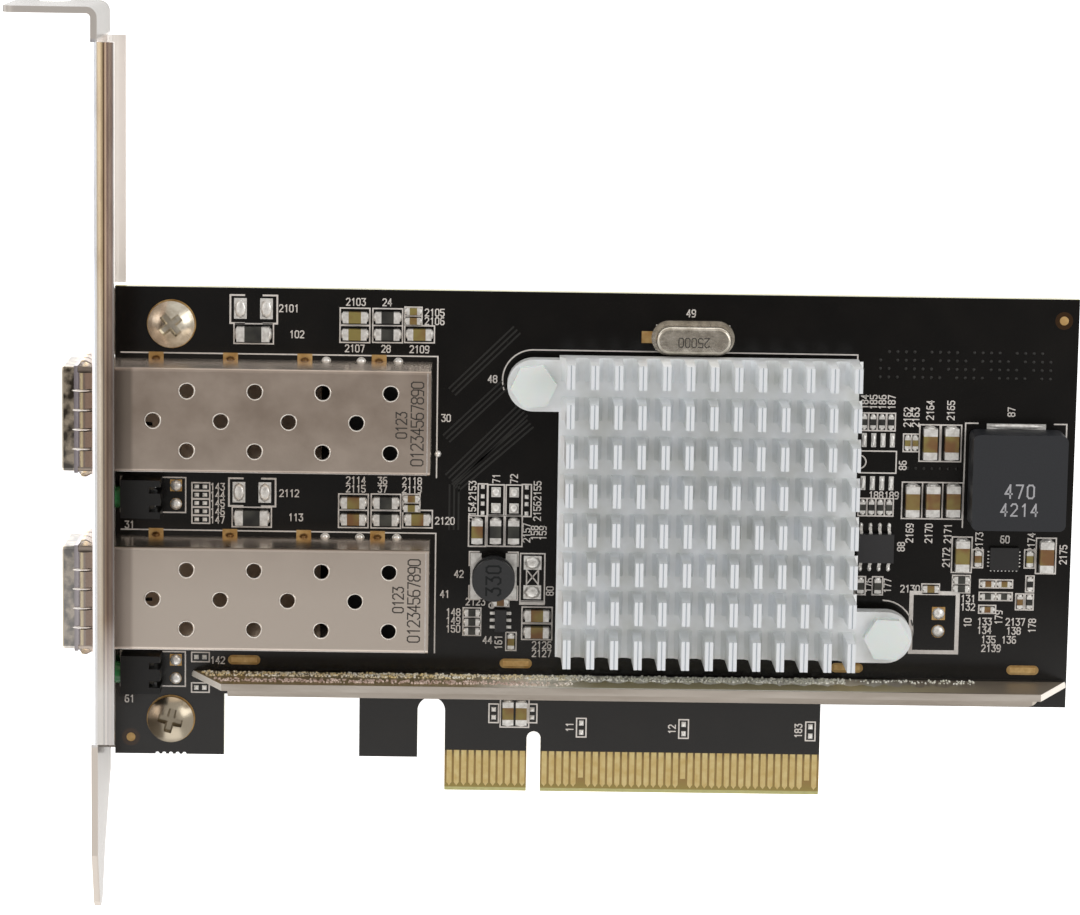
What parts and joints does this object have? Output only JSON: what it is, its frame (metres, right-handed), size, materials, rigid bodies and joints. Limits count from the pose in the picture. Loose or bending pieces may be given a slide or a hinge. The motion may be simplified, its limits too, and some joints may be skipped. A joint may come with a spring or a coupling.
{
  "type": "network interface card",
  "caption": "Network interface card: black edge-connector board on a full-height steel bracket, with perforated module cages and a pin-fin heat sink.",
  "frame": {"origin": "middle of the edge connector's key notch, on the contact edge, in the plane of the board's component side", "axes": "+X along the board away from the bracket, +Y from the edge contacts towards the bracket's screw tab, +Z out of the component side"},
  "size_m": [0.1431, 0.1208, 0.0184],
  "materials": {
    "solder_mask": "black solder mask over glass-epoxy laminate",
    "gold_plate": "bright gold plating on copper",
    "tin_plate": "tinned copper",
    "nickel_steel": "bright nickel-plated sheet steel",
    "nickel_screw": "nickel-plated screw steel",
    "cage_nickel": "satin nickel-plated copper alloy",
    "spring_nickel": "bright nickel-plated spring alloy",
    "connector_plastic": "black moulded plastic",
    "sink_aluminium": "bright extruded aluminium",
    "thermal_pad": "grey thermal pad",
    "package_resin": "black moulded package",
    "lid_metal": "nickel-plated lid",
    "nylon": "translucent white nylon",
    "rail_nickel": "nickel-plated sheet steel",
    "can_metal": "drawn nickel-plated can",
    "ferrite": "dark ferrite",
    "lamp_plastic": "black lamp housing",
    "green_lens": "green lens",
    "capacitor_ceramic": "tan capacitor ceramic",
    "resistor_body": "dark resistor and ferrite-bead bodies"
  },
  "bodies": {
    "root": {"circuit_board": "solder_mask", "edge_contacts": "gold_plate", "mounting_bracket": "nickel_steel", "bracket_screws": "nickel_screw", "heat_sink": "sink_aluminium", "thermal_pad": "thermal_pad", "controller_chip": "package_resin", "controller_lid": "lid_metal", "push_pins": "nylon", "stiffener_rail": "rail_nickel", "crystal_base": "can_metal", "crystal_can": "can_metal", "power_inductor_body": "ferrite", "power_inductor_terminals": "tin_plate", "drum_inductor_core": "ferrite", "drum_inductor_terminals": "tin_plate", "led_housings": "lamp_plastic", "led_lenses": "green_lens", "led_pins": "tin_plate", "capacitor_bodies": "capacitor_ceramic", "capacitor_terminals": "tin_plate", "resistor_bodies": "resistor_body", "resistor_terminals": "tin_plate", "regulator_body": "package_resin", "regulator_leads": "tin_plate", "small_chips": "package_resin", "small_chip_leads": "tin_plate", "gold_lands": "gold_plate", "tinned_lands": "tin_plate", "upper_cage_shell": "cage_nickel", "upper_cage_floor": "cage_nickel", "upper_grounding_collar": "spring_nickel", "upper_host_connector": "connector_plastic", "upper_connector_contacts": "gold_plate", "lower_cage_shell": "cage_nickel", "lower_cage_floor": "cage_nickel", "lower_grounding_collar": "spring_nickel", "lower_host_connector": "connector_plastic", "lower_connector_contacts": "gold_plate"}
  },
  "joints": []
}
